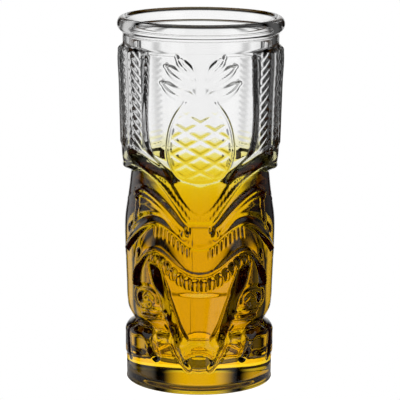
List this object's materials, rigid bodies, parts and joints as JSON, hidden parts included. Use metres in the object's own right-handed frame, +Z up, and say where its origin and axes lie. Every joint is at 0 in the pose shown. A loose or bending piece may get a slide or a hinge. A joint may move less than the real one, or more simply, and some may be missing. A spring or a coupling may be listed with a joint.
{
  "type": "tiki glass",
  "caption": "Tall moulded drinking glass carved as a stern face under a pineapple headdress, with a rolled rim and a solid round foot, clear above and amber below.",
  "frame": {"origin": "middle of the foot's resting plane", "axes": "+Z up the glass towards the rim, -Y out of the carved face, +X to the right of a viewer who looks at the face"},
  "size_m": [0.0722, 0.0724, 0.16],
  "materials": {
    "clear_glass": "fire-polished clear moulded glass",
    "amber_lacquer": "glossy translucent golden amber spray, fading to clear at its top edge"
  },
  "bodies": {
    "root": {"glass_body": "clear_glass", "amber_coat": "amber_lacquer"}
  },
  "joints": []
}
